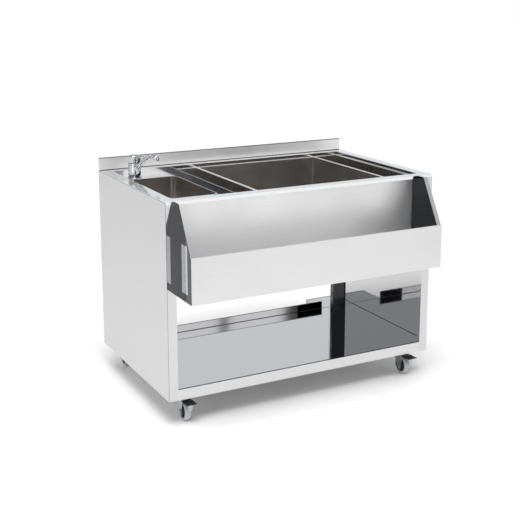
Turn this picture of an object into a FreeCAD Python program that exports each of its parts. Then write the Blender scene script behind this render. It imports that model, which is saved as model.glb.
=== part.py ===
import FreeCAD, Part
import math
import os
from FreeCAD import Vector

# Bar sink with an ice bin, on castors. Millimetres, +Z up, front towards -Y.
# The origin is on the floor, below the middle of the cabinet and its front trough.
os.makedirs("parts", exist_ok=True)

# Cabinet
body_width = 1200.0
body_depth = 738.0
worktop_height = 880.0
castor_height = 107.0
sheet = 1.5
upright_width = 38.0
upright_return = 20.0
back_flange = 30.0
base_flange = 28.5
seam = 0.5

# Worktop
border = 46.0
deck_drop = 16.0
lip_height = 12.0
upstand_thickness = 12.0
upstand_height = 54.0
rim_width = 4.0
rim_thickness = 1.0
tub_wall = 1.2

# Sink bowl
bowl_width = 200.0
bowl_length = 420.0
bowl_depth = 200.0
bowl_corner = 26.0
bowl_floor_radius = 18.0
bowl_from_left = 71.0
bowl_from_front = 121.0
waste_hole = 26.0
waste_pipe = 21.5
waste_tail_length = 60.0
waste_nut_flats = 64.0
waste_nut_height = 12.0
trap_union_drop = 46.0
trap_union_height = 14.0
trap_cup_radius = 30.0
trap_cup_height = 70.0
trap_wall = 2.5
trap_outlet_radius = 16.0
trap_outlet_bore = 14.0
trap_outlet_drop = 20.0
trap_collar = 21.0
outlet_setback = 60.0

# Side wells and insulated well
divider_from_left = 300.0
divider_width = 7.0
well_width = 110.0
well_depth = 150.0
left_well_from_left = 314.0
wells_from_front = 76.0
wells_length = 596.0
ice_width = 588.0
ice_depth = 300.0
ice_corner = 9.0
tub_gap_left = 12.0
tub_gap_right = 10.0
insulation = 25.0
jacket_wall = 1.5
ice_drain_hole = 16.0
ice_drain_bore = 12.0
ice_drain_bend = 20.0
ice_drain_nut_flats = 44.0
ice_drain_nut_height = 10.0
grid_gap = 3.0
grid_feet = 12.0

# Front trough
trough_depth = 140.0
trough_drop = 358.0
trough_front_height = 176.0
trough_hem = 6.5
trough_back_return = 78.0
trough_right_inset = 50.0
end_plate_top_depth = 32.0
end_plate_rail_depth = 132.0
end_flange = 18.5
front_panel_setback = 42.0

# Lower cabinet
shelf_height = 150.0
shelf_depth = 592.0
shelf_upstand = 34.0
shelf_upstand_length = 994.0
shelf_fold = 30.0
post_from_left = 776.0
post_depth = 84.0
post_flange = 7.0
post_groove = 1.0
channel_from_side = 30.0
channel_width = 110.0
channel_wall = 2.0
back_rail_height = 78.0
back_rail_depth = 26.0

# Tap
tap_from_left = 102.0
tap_from_front = 575.0
tap_hole = 17.0
tap_shank_length = 40.0
tap_nut_flats = 46.0
tap_nut_height = 12.0
tap_washer = 26.0
base_ring_radius = 29.0
base_ring_height = 6.0
column_radius = 18.0
sleeve_radius = 26.0
sleeve_height = 59.0
spout_turn = -74.0
spout_root_height = 43.0
spout_rise = 33.0
spout_radius = 7.5
spout_run = 118.0
spout_bend = 20.0
spout_droop = 14.0
spout_end_run = 22.0
aerator_radius = 11.0
aerator_height = 5.0
dome_radius = 24.0
dome_gap = 0.4
cap_shell = 8.6
cap_skirt = 1.0
cap_height = 25.5
pivot_above_sleeve = 9.5
lever_length = 66.0
lever_width = 25.0
lever_thickness = 4.5
lever_slot = 12.0
lever_slope = 4.0
pivot_pin = 2.0
running_fit = 0.05
tail_radius = 6.0
tail_length = 150.0
tail_offset = 8.5
tail_nut_flats = 15.0
tail_nut_height = 14.0

# Castors
wheel_radius = 40.0
wheel_width = 26.0
tyre_thickness = 9.0
trail = 28.0
front_castor_inset = 80.0
rear_castor_inset = 68.0
side_castor_inset = 85.0
plate_x = 100.0
plate_y = 85.0
plate_thickness = 3.0
plate_hole_x = 80.0
plate_hole_y = 60.0
plate_hole = 4.5
plate_bolt = 4.0
fork_gap = 16.0
fork_wall = 2.5
crown_thickness = 3.0
crown_top = 91.0
race_gap = 0.3
race_radius = 25.0
kingpin = 6.0
axle_sleeve = 6.0
axle_bolt = 4.0
pedal_width = 42.0
pedal_arm_width = 30.0
pedal_reach = 72.0
pedal_pin = 2.5
pedal_pivot_y = -36.0
pedal_pivot_z = 84.0

# Places worked out from the sizes above
left = -body_width / 2
right = body_width / 2
front = (trough_depth - body_depth) / 2
back = front + body_depth
under_top = worktop_height - sheet
deck = worktop_height - deck_drop
upstand_face = back - upstand_thickness
inner_side = right - sheet
recess_left = left + border
recess_right = right - border
recess_front = front + border
recess_back = upstand_face - border
bowl_x0 = left + bowl_from_left
bowl_x1 = bowl_x0 + bowl_width
bowl_y0 = front + bowl_from_front
bowl_y1 = bowl_y0 + bowl_length
bowl_x = (bowl_x0 + bowl_x1) / 2
bowl_y = (bowl_y0 + bowl_y1) / 2
bowl_bottom = deck - bowl_depth
wells_y0 = front + wells_from_front
wells_y1 = wells_y0 + wells_length
left_well_x0 = left + left_well_from_left
left_well_x1 = left_well_x0 + well_width
ice_x0 = left_well_x1 + tub_gap_left
ice_x1 = ice_x0 + ice_width
right_well_x0 = ice_x1 + tub_gap_right
right_well_x1 = right_well_x0 + well_width
ice_x = (ice_x0 + ice_x1) / 2
ice_y = (wells_y0 + wells_y1) / 2
ice_floor = deck - ice_depth
ice_bottom = ice_floor - tub_wall
jacket_bottom = ice_bottom - insulation - jacket_wall
well_bottom = deck - well_depth - tub_wall
panel_face = front + front_panel_setback
trough_front = front - trough_depth
trough_bottom = worktop_height - trough_drop
trough_left = left + upright_width
trough_right = right - trough_right_inset
right_plate = trough_right - end_flange - sheet
shelf_back = front + shelf_depth
upstand_end = left + upright_width + shelf_upstand_length
post_x = left + post_from_left
tap_x = left + tap_from_left
tap_y = front + tap_from_front
sleeve_base = base_ring_height
sleeve_top = sleeve_base + sleeve_height
pivot_height = sleeve_top + pivot_above_sleeve


def box(x0, x1, y0, y1, z0, z1):
    return Part.makeBox(x1 - x0, y1 - y0, z1 - z0, Vector(x0, y0, z0))


def fuse(shapes):
    whole = shapes[0]
    for shape in shapes[1:]:
        whole = whole.fuse(shape)
    return whole.removeSplitter()


def cylinder(radius, base, top, x=0.0, y=0.0):
    return Part.makeCylinder(radius, top - base, Vector(x, y, base))


def cylinder_x(radius, x0, x1, y, z):
    return Part.makeCylinder(radius, x1 - x0, Vector(x0, y, z), Vector(1, 0, 0))


def cylinder_y(radius, y0, y1, x, z):
    return Part.makeCylinder(radius, y1 - y0, Vector(x, y0, z), Vector(0, 1, 0))


def ring(outer, inner, base, top, x=0.0, y=0.0):
    return cylinder(outer, base, top, x, y).cut(cylinder(inner, base - 1, top + 1, x, y))


def hexagon(across_flats, base, top, x=0.0, y=0.0):
    reach = across_flats / math.sqrt(3)
    corners = []
    for step in range(7):
        turn = math.radians(60 * step)
        corners.append(Vector(x + reach * math.cos(turn), y + reach * math.sin(turn), base))
    return Part.Face(Part.makePolygon(corners)).extrude(Vector(0, 0, top - base))


def hexagon_x(across_flats, x0, x1, y, z):
    nut = hexagon(across_flats, 0, x1 - x0)
    nut.rotate(Vector(0, 0, 0), Vector(0, 1, 0), 90)
    nut.translate(Vector(x0, y, z))
    return nut


def side_profile(points, x0, x1):
    """A flat plate across X, from its outline as (y, z) points."""
    corners = [Vector(x0, y, z) for y, z in points]
    corners.append(corners[0])
    return Part.Face(Part.makePolygon(corners)).extrude(Vector(x1 - x0, 0, 0))


def rounded_box(x0, x1, y0, y1, z0, z1, radius):
    """A box with round upright corners."""
    block = box(x0, x1, y0, y1, z0, z1)
    upright = [e for e in block.Edges if abs(e.tangentAt(e.FirstParameter).z) > 0.9]
    return block.makeFillet(radius, upright)


def tub(x0, x1, y0, y1, z0, z1, corner, floor_radius):
    """An open pressed tub with its wall inside the given box and a rim that lies on the deck."""
    outer = rounded_box(x0, x1, y0, y1, z0, z1, corner)
    bottom = [e for e in outer.Edges if e.BoundBox.ZMax < z0 + 0.01]
    outer = outer.makeFillet(floor_radius + tub_wall, bottom)
    inner = rounded_box(
        x0 + tub_wall, x1 - tub_wall, y0 + tub_wall, y1 - tub_wall, z0 + tub_wall, z1 + 10, corner - tub_wall
    )
    bottom = [e for e in inner.Edges if e.BoundBox.ZMax < z0 + tub_wall + 0.01]
    inner = inner.makeFillet(floor_radius, bottom)
    rim = rounded_box(
        x0 - rim_width, x1 + rim_width, y0 - rim_width, y1 + rim_width,
        z1, z1 + rim_thickness, corner + rim_width,
    )
    return fuse([outer, rim]).cut(inner)


def side_panel(side):
    """One folded side: skin, upright face with its return, and back, top and base flanges."""
    skin = side * right
    inner = side * inner_side
    edge = side * (right - upright_width)
    face_top = worktop_height - lip_height - seam
    parts = [
        box(min(skin, inner), max(skin, inner), front, back, castor_height, under_top),
        box(min(skin, edge), max(skin, edge), front, front + sheet, castor_height, face_top),
        box(
            min(edge, edge + side * sheet), max(edge, edge + side * sheet),
            front, front + upright_return, castor_height, face_top,
        ),
    ]
    flange = side * (right - back_flange)
    parts.append(box(min(skin, flange), max(skin, flange), back - sheet, back, castor_height, under_top))
    flange = side * (right - border / 2)
    parts.append(
        box(min(inner, flange), max(inner, flange), recess_front, back - sheet, under_top - sheet, under_top)
    )
    flange = side * (inner_side - base_flange)
    parts.append(
        box(min(inner, flange), max(inner, flange), front, back, castor_height, castor_height + sheet)
    )
    return fuse(parts)


def border_profiles():
    """Four folded strips round the lowered deck: the flat border and the step down from it."""
    wall_front = recess_front - sheet
    wall_back = recess_back + sheet
    lip_bottom = worktop_height - lip_height
    front_strip = [
        box(left, right, front, recess_front, under_top, worktop_height),
        box(recess_left - sheet, recess_right + sheet, wall_front, recess_front, deck - sheet, under_top),
        box(-inner_side, inner_side, front, front + sheet, lip_bottom, under_top),
        box(trough_left, -trough_left, front + sheet, front + lip_height, lip_bottom, lip_bottom + sheet),
    ]
    back_strip = [
        box(left, right, recess_back, upstand_face, under_top, worktop_height),
        box(recess_left - sheet, recess_right + sheet, recess_back, wall_back, deck - sheet, under_top),
    ]
    strips = [fuse(front_strip), fuse(back_strip)]
    for side in (-1, 1):
        edge = side * recess_right
        outer = side * right
        step = edge + side * sheet
        flat = box(min(edge, outer), max(edge, outer), recess_front, recess_back, under_top, worktop_height)
        wall = box(min(edge, step), max(edge, step), recess_front, recess_back, deck - sheet, under_top)
        strips.append(fuse([flat, wall]))
    return strips


def worktop():
    """The top: four border strips, the sink deck with its cut-outs, and the strips round the wells."""
    low = deck - sheet
    whole = box(recess_left, recess_right, recess_front, recess_back, low, deck)
    sink_deck = whole.common(box(left, left_well_x0, front, back, low, deck))
    sink_deck = sink_deck.cut(
        rounded_box(bowl_x0, bowl_x1, bowl_y0, bowl_y1, deck - 5, deck + 5, bowl_corner)
    )
    sink_deck = sink_deck.cut(cylinder(tap_hole, deck - 5, deck + 5, tap_x, tap_y))
    round_wells = [
        (left_well_x0, body_width, wells_y0 - body_depth, wells_y0),
        (left_well_x0, body_width, wells_y1, wells_y1 + body_depth),
        (left_well_x1, ice_x0, wells_y0, wells_y1),
        (ice_x1, right_well_x0, wells_y0, wells_y1),
        (right_well_x1, right_well_x1 + body_width, wells_y0, wells_y1),
    ]
    strips = []
    for x0, x1, y0, y1 in round_wells:
        strips.extend(whole.common(box(x0, x1, y0, y1, low, deck)).Solids)
    return Part.makeCompound(border_profiles() + [sink_deck] + strips)


def backsplash():
    """The folded upstand along the back, open at its foot, with closed ends."""
    top = worktop_height + upstand_height
    block = box(left, right, upstand_face, back, under_top, top)
    crest = [e for e in block.Edges if e.BoundBox.ZMin > top - 0.01 and e.BoundBox.XLength > 1000]
    block = block.makeFillet(3.0, crest)
    return block.cut(
        box(-inner_side, inner_side, upstand_face + sheet, back - sheet, under_top - 1, top - sheet)
    )


def divider():
    """The raised fold between the sink deck and the wells."""
    x0 = left + divider_from_left
    x1 = x0 + divider_width
    fold = box(x0, x1, recess_front, recess_back, deck, worktop_height)
    return fold.cut(
        box(x0 + sheet, x1 - sheet, recess_front - 1, recess_back + 1, deck - 1, worktop_height - sheet)
    )


def front_panel():
    return box(-inner_side, inner_side, panel_face, panel_face + sheet, trough_bottom, under_top)


def trough():
    """Front, hem, floor and back return of the trough."""
    top = trough_bottom + trough_front_height
    inner_left = trough_left + sheet
    parts = [
        box(trough_left, trough_right, trough_front, trough_front + sheet, trough_bottom, top),
        box(inner_left, right_plate, trough_front, trough_front + trough_hem, top - sheet, top),
        box(inner_left, right_plate, trough_front, panel_face, trough_bottom, trough_bottom + sheet),
        box(
            inner_left, right_plate, panel_face - sheet, panel_face,
            trough_bottom, trough_bottom + trough_back_return,
        ),
    ]
    return fuse(parts)


def end_outline():
    """The end plate's outline: up the panel, under the lip, then down the slanted front."""
    face = trough_front + sheet
    rail_top = trough_bottom + trough_front_height - sheet
    lip_bottom = worktop_height - lip_height - seam
    return [
        (panel_face, trough_bottom),
        (panel_face, lip_bottom),
        (front - seam, lip_bottom),
        (front - seam, under_top),
        (front - end_plate_top_depth, under_top),
        (front - end_plate_rail_depth, rail_top),
        (face, rail_top),
        (face, trough_bottom),
    ]


def end_plate_left():
    return side_profile(end_outline(), trough_left, trough_left + sheet)


def end_plate_right():
    """The right end plate, with a flange turned outwards along its top and slanted edges."""
    plate = side_profile(end_outline(), right_plate, right_plate + sheet)
    rail_top = trough_bottom + trough_front_height - sheet
    slope_y = end_plate_rail_depth - end_plate_top_depth
    slope_z = under_top - rail_top
    length = math.hypot(slope_y, slope_z)
    in_y = sheet * slope_z / length
    in_z = sheet * slope_y / length
    strip = [
        (front - seam, under_top),
        (front - end_plate_top_depth, under_top),
        (front - end_plate_rail_depth, rail_top),
        (front - end_plate_rail_depth + in_y, rail_top - in_z),
        (front - end_plate_top_depth + in_y * 0.8, under_top - sheet),
        (front - seam, under_top - sheet),
    ]
    flange = side_profile(strip, right_plate + sheet, trough_right)
    return fuse([plate, flange])


def bottom_shelf():
    """Shelf surface, front flange with its return, back upstand and back fold."""
    low = shelf_height - sheet
    edge = right - upright_width
    parts = [
        box(-inner_side, inner_side, front + upright_return, shelf_back, low, shelf_height),
        box(-edge, edge, front, front + upright_return, low, shelf_height),
        box(-edge, edge, front, front + sheet, castor_height, shelf_height),
        box(-edge, edge, front, front + upright_return - sheet, castor_height, castor_height + sheet),
        box(-edge, upstand_end, shelf_back - sheet, shelf_back, low, shelf_height + shelf_upstand),
        box(-edge, edge, shelf_back - sheet, shelf_back, shelf_height - shelf_fold, low),
    ]
    return fuse(parts)


def rear_shelf():
    """The level piece behind the shelf, from the end of the upstand to the right side, with two folds."""
    low = shelf_height - sheet
    fold_bottom = shelf_height - shelf_fold
    rear = back - sheet
    parts = [
        box(upstand_end, inner_side, shelf_back, rear, low, shelf_height),
        box(upstand_end, inner_side, rear - sheet, rear, fold_bottom, low),
        box(upstand_end, upstand_end + sheet, shelf_back, rear, fold_bottom, low),
    ]
    return fuse(parts)


def centre_post():
    """A folded post from the shelf to the trough: web facing left, flanges turned right."""
    y0 = front + 2
    y1 = y0 + post_depth
    x1 = post_x + post_flange
    parts = [
        box(post_x, post_x + sheet, y0, y1, shelf_height, trough_bottom),
        box(post_x, x1, y0, y0 + sheet, shelf_height, trough_bottom),
        box(post_x, x1, y1 - sheet, y1, shelf_height, trough_bottom),
    ]
    middle = y0 + post_depth * 0.62
    groove = box(
        post_x - 1, post_x + sheet / 3, middle - post_groove / 2, middle + post_groove / 2, 0, worktop_height
    )
    return fuse(parts).cut(groove)


def base_channel(side):
    """A channel under the shelf that carries two castors."""
    outer = side * (right - channel_from_side)
    inner = side * (right - channel_from_side - channel_width)
    x0 = min(outer, inner)
    x1 = max(outer, inner)
    y0 = front + upright_return
    y1 = back - sheet
    low = shelf_height - sheet
    channel = box(x0, x1, y0, y1, castor_height, low)
    hollow = box(x0 + channel_wall, x1 - channel_wall, y0 - 1, y1 + 1, castor_height + channel_wall, low + 1)
    channel = channel.cut(hollow)
    behind = box(x0 - 1, x1 + 1, shelf_back - sheet, y1 + 1, shelf_height - shelf_fold, low + 1)
    channel = channel.cut(behind)
    for y in (front + front_castor_inset, back - rear_castor_inset):
        for dx in (-plate_hole_x / 2, plate_hole_x / 2):
            for dy in (-plate_hole_y / 2, plate_hole_y / 2):
                x = side * (right - side_castor_inset) + dx
                channel = channel.cut(cylinder(plate_hole, castor_height - 1, low, x, y + dy))
    return channel


def back_rail():
    top = under_top
    y1 = back - sheet
    bottom = top - back_rail_height
    web = box(-inner_side, inner_side, y1 - sheet, y1, bottom, top - sheet)
    foot = box(-inner_side, inner_side, y1 - back_rail_depth, y1, bottom, bottom + sheet)
    return fuse([web, foot])


def sink_bowl():
    bowl = tub(bowl_x0, bowl_x1, bowl_y0, bowl_y1, bowl_bottom, deck, bowl_corner, bowl_floor_radius)
    return bowl.cut(cylinder(waste_hole, bowl_bottom - 5, bowl_bottom + 5, bowl_x, bowl_y))


def sink_waste():
    """The waste fitting: dished flange in the bowl, threaded body, back nut and tail pipe."""
    floor = bowl_bottom + tub_wall
    seat_top = bowl_bottom - waste_nut_height
    body = ring(waste_hole - 0.2, 21.0, bowl_bottom - 34, floor + 1, bowl_x, bowl_y)
    flange = ring(40.0, 24.0, floor, floor + 2, bowl_x, bowl_y)
    seat = ring(24.5, 17.0, seat_top - 2, seat_top, bowl_x, bowl_y)
    tail = ring(waste_pipe, 18.0, bowl_bottom - waste_tail_length, bowl_bottom - 30, bowl_x, bowl_y)
    return fuse([body, flange, seat, tail])


def waste_nut():
    low = bowl_bottom - waste_nut_height
    nut = hexagon(waste_nut_flats, low, bowl_bottom, bowl_x, bowl_y)
    return nut.cut(cylinder(waste_hole - 0.2, low - 1, bowl_bottom + 1, bowl_x, bowl_y))


def sink_trap():
    """A cup trap: union nut, cup and a level outlet pipe towards the back."""
    top = bowl_bottom - trap_union_drop
    cup_top = top - trap_union_height
    cup_bottom = cup_top - trap_cup_height
    cup_inside = trap_cup_radius - trap_wall
    cup = ring(trap_cup_radius, cup_inside, cup_bottom + trap_wall, cup_top, bowl_x, bowl_y)
    floor = cylinder(trap_cup_radius, cup_bottom, cup_bottom + trap_wall, bowl_x, bowl_y)
    lid = ring(trap_cup_radius + 2, waste_pipe, cup_top, cup_top + 4, bowl_x, bowl_y)
    union = ring(trap_cup_radius - 2, waste_pipe, cup_top + 4, top, bowl_x, bowl_y)
    outlet_z = cup_top - trap_outlet_drop
    outlet_y = back - outlet_setback
    pipe = cylinder_y(trap_outlet_radius, bowl_y + cup_inside + 0.5, outlet_y, bowl_x, outlet_z)
    bore = cylinder_y(trap_outlet_bore, bowl_y + 20, outlet_y + 10, bowl_x, outlet_z)
    collar_start = bowl_y + trap_cup_radius + 1
    collar = cylinder_y(trap_collar, collar_start, collar_start + 18, bowl_x, outlet_z)
    return fuse([cup, floor, lid, union, pipe, collar]).cut(bore)


def sink_strainer():
    """The lift-out basket: a perforated dish that sits in the waste, with a knob."""
    seat = bowl_bottom - waste_nut_height
    dish = ring(20.6, 19.0, seat, seat + 12, bowl_x, bowl_y)
    floor = cylinder(20.6, seat, seat + 1.5, bowl_x, bowl_y)
    knob = cylinder(4.0, seat, seat + 16, bowl_x, bowl_y)
    basket = fuse([dish, floor, knob])
    for step in range(8):
        turn = math.radians(45 * step)
        x = bowl_x + 12 * math.cos(turn)
        y = bowl_y + 12 * math.sin(turn)
        basket = basket.cut(cylinder(3.0, seat - 1, seat + 3, x, y))
    return basket


def ice_liner():
    liner = tub(ice_x0, ice_x1, wells_y0, wells_y1, ice_floor - tub_wall, deck, ice_corner, 8.0)
    return liner.cut(cylinder(ice_drain_hole, ice_floor - 5, ice_floor + 5, ice_x, ice_y))


def drain_hole():
    """The hole for the drain through the floor board and the jacket."""
    return cylinder(ice_drain_hole + 4, ice_bottom - 2 * insulation, ice_floor, ice_x, ice_y)


def boards_round_well(x0, x1, bottom, top):
    """Four boards that close a ring round the insulated well between two heights."""
    y0 = wells_y0 - insulation
    y1 = wells_y1 + insulation
    return [
        box(x0, ice_x0, wells_y0, wells_y1, bottom, top),
        box(ice_x1, x1, wells_y0, wells_y1, bottom, top),
        box(x0, x1, y0, wells_y0, bottom, top),
        box(x0, x1, wells_y1, y1, bottom, top),
    ]


def ice_insulation():
    """Foam boards: one below the well, a thick ring round it and a thin one between the wells."""
    floor = box(
        ice_x0 - insulation, ice_x1 + insulation, wells_y0 - insulation, wells_y1 + insulation,
        ice_bottom - insulation, ice_bottom,
    )
    lower = boards_round_well(ice_x0 - insulation, ice_x1 + insulation, ice_bottom, well_bottom)
    upper = boards_round_well(left_well_x1, right_well_x0, well_bottom, deck - sheet)
    return Part.makeCompound([floor.cut(drain_hole())] + lower + upper)


def ice_jacket():
    """The steel skin round the lower, thick part of the insulation."""
    x0 = ice_x0 - insulation
    x1 = ice_x1 + insulation
    y0 = wells_y0 - insulation
    y1 = wells_y1 + insulation
    outer = box(
        x0 - jacket_wall, x1 + jacket_wall, y0 - jacket_wall, y1 + jacket_wall, jacket_bottom, well_bottom
    )
    inner = box(x0, x1, y0, y1, jacket_bottom + jacket_wall, well_bottom + 1)
    return outer.cut(inner).cut(drain_hole())


def drain_route(radius, top, end):
    """A round bar down from the well, through an elbow below the nut, then level towards the back."""
    bend_top = jacket_bottom - ice_drain_nut_height - 0.3
    drop = cylinder(radius, bend_top, top, ice_x, ice_y)
    circle = Part.Circle(Vector(ice_x, ice_y, bend_top), Vector(0, 0, 1), radius)
    face = Part.Face(Part.Wire(circle.toShape()))
    elbow = face.revolve(Vector(ice_x, ice_y + ice_drain_bend, bend_top), Vector(1, 0, 0), 90)
    run = cylinder_y(radius, ice_y + ice_drain_bend, end, ice_x, bend_top - ice_drain_bend)
    return fuse([drop, elbow, run])


def ice_drain():
    """The drain fitting of the insulated well, with its flange, nut, elbow and outlet pipe."""
    outlet_y = back - outlet_setback
    pipe = drain_route(ice_drain_hole - 0.2, ice_floor + 1, outlet_y)
    flange = ring(24.0, 13.0, ice_floor, ice_floor + 1.5, ice_x, ice_y)
    nut = hexagon(ice_drain_nut_flats, jacket_bottom - ice_drain_nut_height, jacket_bottom, ice_x, ice_y)
    return fuse([pipe, flange, nut]).cut(drain_route(ice_drain_bore, ice_floor + 5, outlet_y + 5))


def false_bottom():
    """The slotted plate that stands over the drain, on four feet."""
    clear = tub_wall + grid_gap
    low = ice_floor + grid_feet
    plate = rounded_box(
        ice_x0 + clear, ice_x1 - clear, wells_y0 + clear, wells_y1 - clear, low, low + sheet, ice_corner
    )
    columns = 9
    rows = 4
    pitch_x = (ice_width - 60) / columns
    pitch_y = (wells_length - 60) / rows
    for column in range(columns):
        for row in range(rows):
            x = ice_x0 + 30 + pitch_x * (column + 0.5)
            y = wells_y0 + 30 + pitch_y * (row + 0.5)
            slot = box(x - 5, x + 5, y - pitch_y * 0.38, y + pitch_y * 0.38, ice_floor, ice_floor + 20)
            plate = plate.cut(slot)
    feet = []
    for x in (ice_x0 + 40, ice_x1 - 40):
        for y in (wells_y0 + 20, wells_y1 - 20):
            feet.append(cylinder(6.0, ice_floor, low, x, y))
    return fuse([plate] + feet)


def bottle_well(x0):
    """A welded bin of five plates. The long walls stand between the end walls, each with its rim."""
    x1 = x0 + well_width
    y0 = wells_y0 + tub_wall
    y1 = wells_y1 - tub_wall
    rim_top = deck + rim_thickness
    plates = [box(x0 + tub_wall, x1 - tub_wall, y0, y1, well_bottom, well_bottom + tub_wall)]
    for wall, edge, inner in ((x0, x0 - rim_width, x0 + tub_wall), (x1, x1 + rim_width, x1 - tub_wall)):
        upright = box(min(wall, inner), max(wall, inner), y0, y1, well_bottom, deck)
        rim = box(min(edge, inner), max(edge, inner), y0, y1, deck, rim_top)
        plates.append(fuse([upright, rim]))
    for wall, edge, inner in ((wells_y0, wells_y0 - rim_width, y0), (wells_y1, wells_y1 + rim_width, y1)):
        upright = box(x0, x1, min(wall, inner), max(wall, inner), well_bottom, deck)
        rim = box(x0 - rim_width, x1 + rim_width, min(edge, inner), max(edge, inner), deck, rim_top)
        plates.append(fuse([upright, rim]))
    return Part.makeCompound(plates)


def tap_place(shape):
    """Turns a piece made with the spout along +X and sets it on the deck."""
    shape.rotate(Vector(0, 0, 0), Vector(0, 0, 1), spout_turn)
    shape.translate(Vector(tap_x, tap_y, deck))
    return shape


def tap_base():
    """The fixed part on the deck: base ring and the column that the spout sleeve turns on."""
    foot = cylinder(base_ring_radius, 0, base_ring_height)
    foot = foot.makeFillet(2.0, [e for e in foot.Edges if e.BoundBox.ZMin > base_ring_height - 0.01])
    column = cylinder(column_radius, 0, sleeve_top + 0.3)
    shank = cylinder(tap_hole - 0.5, -tap_shank_length, 1)
    return tap_place(fuse([foot, column, shank]))


def tap_housing():
    """The domed cartridge housing on the column, open at the top for the lever's stem."""
    low = sleeve_top + 0.3
    dome = Part.makeSphere(dome_radius, Vector(0, 0, pivot_height), Vector(0, 0, 1), -90, 90, 360)
    dome = dome.common(box(-40, 40, -40, 40, low, pivot_height + 40))
    chamber = cylinder(14.5, low + 2, pivot_height + 6)
    throat = Part.makeCone(14.5, 17.0, 25, Vector(0, 0, pivot_height + 6))
    return tap_place(dome.cut(chamber).cut(throat))


def tap_nut():
    low = -sheet - tap_nut_height
    nut = hexagon(tap_nut_flats, low, -sheet)
    washer = cylinder(tap_washer, -sheet - 2, -sheet)
    whole = fuse([nut, washer])
    return tap_place(whole.cut(cylinder(tap_hole - 0.5, low - 1, 1)))


def tap_tails():
    """Two fixed inlet tails below the deck, each with its union nut."""
    low = -tap_shank_length - tail_length
    tails = []
    for y in (-tail_offset, tail_offset):
        pipe = cylinder(tail_radius, low, -tap_shank_length, 0, y)
        nut = hexagon(tail_nut_flats, low, low + tail_nut_height, 0, y)
        tails.append(fuse([pipe, nut]))
    return tap_place(Part.makeCompound(tails))


def spout_path():
    """Root, knee, end of the bend and outlet on the spout's centre line."""
    rise = math.radians(spout_rise)
    droop = math.radians(spout_droop)
    root = Vector(8.0, 0, spout_root_height)
    knee = root + Vector(spout_run * math.cos(rise), 0, spout_run * math.sin(rise))
    centre = knee + Vector(math.sin(rise) * spout_bend, 0, -math.cos(rise) * spout_bend)
    crest = centre + Vector(math.sin(droop) * spout_bend, 0, math.cos(droop) * spout_bend)
    end = crest + Vector(math.cos(droop) * spout_end_run, 0, -math.sin(droop) * spout_end_run)
    return root, knee, centre, crest, end


def tap_spout():
    """The sleeve that turns on the column, with the rising spout and its outlet head."""
    sleeve = cylinder(sleeve_radius, sleeve_base + 0.2, sleeve_top)
    sleeve = sleeve.makeFillet(1.2, [e for e in sleeve.Edges if e.BoundBox.ZMin > sleeve_top - 0.01])
    root, knee, centre, crest, end = spout_path()
    rising = knee.sub(root)
    tube = Part.makeCone(spout_radius + 2.5, spout_radius, rising.Length, root, rising)
    profile = Part.Face(Part.Wire(Part.Circle(knee, rising, spout_radius).toShape()))
    bend = profile.revolve(centre, Vector(0, 1, 0), spout_rise + spout_droop)
    nose = Part.makeCylinder(spout_radius, spout_end_run, crest, end.sub(crest))
    head = cylinder(aerator_radius, end.z - 7, end.z + 8.5, end.x + 4, 0)
    head = head.makeFillet(2.5, [e for e in head.Edges if e.BoundBox.ZMin > end.z + 8.4])
    whole = fuse([sleeve, tube, bend, nose, head])
    return tap_place(whole.cut(cylinder(column_radius + running_fit, -5, sleeve_top + 20)))


def tap_aerator():
    """The ring at the outlet, with its inner screen."""
    end = spout_path()[4]
    low = end.z - 7 - aerator_height
    ring_body = cylinder(aerator_radius + 0.8, low, end.z - 7, end.x + 4, 0)
    bore = cylinder(aerator_radius - 2.2, low - 1, end.z - 8.5, end.x + 4, 0)
    return tap_place(ring_body.cut(bore))


def tap_turner():
    """The cartridge's turning part: a disc in the chamber with two ears for the pivot pin."""
    base = sleeve_top + 2.6
    disc = cylinder(14.5 - 2 * running_fit, base, base + 1.5)
    parts = [disc]
    for y0 in (-9.0, 6.0):
        parts.append(box(-4, 4, y0, y0 + 3, base, pivot_height + 3))
    ears = fuse(parts)
    pin_hole = Part.makeCylinder(pivot_pin, 40, Vector(0, -20, pivot_height), Vector(0, 1, 0))
    return tap_place(ears.cut(pin_hole))


def tap_pivot():
    pin = Part.makeCylinder(pivot_pin, 18.4, Vector(0, -9.2, pivot_height), Vector(0, 1, 0))
    return tap_place(pin)


def tap_lever():
    """Cap, stem and the open loop lever."""
    inner_radius = dome_radius + dome_gap
    top = pivot_height + cap_height
    cap = Part.makeSphere(inner_radius + cap_shell, Vector(0, 0, pivot_height))
    cap = cap.common(cylinder(sleeve_radius, pivot_height + cap_skirt, top))
    cap = cap.makeFillet(1.5, [e for e in cap.Edges if e.BoundBox.ZMin > top - 0.01])
    hollow = Part.makeSphere(inner_radius, Vector(0, 0, pivot_height))
    stem = cylinder(4.5, pivot_height - 4, pivot_height + inner_radius + 0.4)
    stem = stem.common(box(-3.5, 3.5, -5.5, 5.5, 0, 200))
    loop_top = top - 1
    half = lever_width / 2
    arm = box(12, lever_length - half, -half, half, loop_top - lever_thickness, loop_top)
    nose = cylinder(half, loop_top - lever_thickness, loop_top, lever_length - half, 0)
    loop = fuse([arm, nose])
    slot_start = sleeve_radius + 9
    slot_end = lever_length - half
    loop = loop.cut(box(slot_start, slot_end, -lever_slot / 2, lever_slot / 2, 0, 200))
    for x in (slot_start, slot_end):
        loop = loop.cut(cylinder(lever_slot / 2, 0, 200, x, 0))
    loop.rotate(Vector(18, 0, loop_top), Vector(0, 1, 0), lever_slope)
    shell = fuse([cap, loop]).cut(hollow)
    whole = fuse([shell, stem])
    bore = Part.makeCylinder(pivot_pin + running_fit, 40, Vector(0, -20, pivot_height), Vector(0, 1, 0))
    return tap_place(whole.cut(bore))


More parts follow.
